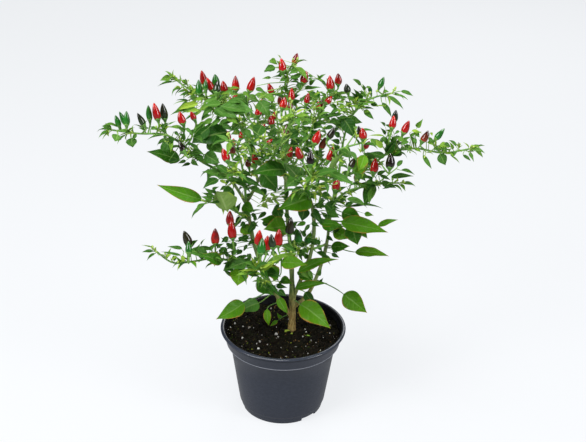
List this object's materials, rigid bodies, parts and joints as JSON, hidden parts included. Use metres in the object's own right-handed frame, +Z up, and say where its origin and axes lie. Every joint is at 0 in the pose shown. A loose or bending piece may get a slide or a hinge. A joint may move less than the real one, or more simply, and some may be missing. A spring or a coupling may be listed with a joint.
{
  "type": "potted chilli pepper plant",
  "caption": "Ornamental chilli pepper plant in a round dark nursery pot: woody forked trunk, spreading leafy stems with a flat crown, and small upright cone-shaped chillies",
  "frame": {"origin": "centre of the pot's flat underside, where it rests", "axes": "+Z up, -Y towards the front of the plant, +X to the right seen from the front"},
  "size_m": [0.3752, 0.2493, 0.4131],
  "materials": {
    "pot": "satin dark blue-grey polypropylene",
    "soil": "damp peat-based potting soil with perlite",
    "bark": "young bark, tan at the foot and green above",
    "foliage": "satin green leaf and green stem",
    "chilli_red": "glossy ripe chilli skin",
    "chilli_mottled": "glossy skin turning from purple-brown to red"
  },
  "bodies": {
    "root": {"chilli_mottled_01": "chilli_mottled", "chilli_mottled_02": "chilli_mottled", "chilli_mottled_03": "chilli_mottled", "chilli_mottled_04": "chilli_mottled", "chilli_mottled_05": "chilli_mottled", "chilli_mottled_06": "chilli_mottled", "chilli_mottled_07": "chilli_mottled", "chilli_mottled_08": "chilli_mottled", "chilli_mottled_09": "chilli_mottled", "chilli_mottled_10": "chilli_mottled", "chilli_red_01": "chilli_red", "chilli_red_02": "chilli_red", "chilli_red_03": "chilli_red", "chilli_red_04": "chilli_red", "chilli_red_05": "chilli_red", "chilli_red_06": "chilli_red", "chilli_red_07": "chilli_red", "chilli_red_08": "chilli_red", "chilli_red_09": "chilli_red", "chilli_red_10": "chilli_red", "chilli_red_11": "chilli_red", "chilli_red_12": "chilli_red", "chilli_red_13": "chilli_red", "chilli_red_14": "chilli_red", "chilli_red_15": "chilli_red", "chilli_red_16": "chilli_red", "chilli_red_17": "chilli_red", "chilli_red_18": "chilli_red", "chilli_red_19": "chilli_red", "chilli_red_20": "chilli_red", "chilli_red_21": "chilli_red", "chilli_red_22": "chilli_red", "chilli_red_23": "chilli_red", "chilli_red_24": "chilli_red", "chilli_red_25": "chilli_red", "chilli_red_26": "chilli_red", "chilli_red_27": "chilli_red", "chilli_red_28": "chilli_red", "chilli_red_29": "chilli_red", "leafy_stem_back_left": "foliage", "leafy_stem_back_middle": "foliage", "leafy_stem_back_right": "foliage", "leafy_stem_front_left": "foliage", "leafy_stem_front_middle": "foliage", "leafy_stem_front_right": "foliage", "leafy_stem_inner_left": "foliage", "leafy_stem_inner_right": "foliage", "leafy_stem_left_crown": "foliage", "leafy_stem_left_long": "foliage", "leafy_stem_left_middle": "foliage", "leafy_stem_low_front": "foliage", "leafy_stem_low_left": "foliage", "leafy_stem_low_middle": "foliage", "leafy_stem_right_crown": "foliage", "leafy_stem_right_long": "foliage", "leafy_stem_right_middle": "foliage", "leafy_stem_top": "foliage", "pot": "pot", "soil": "soil", "trunk": "bark"}
  },
  "joints": []
}
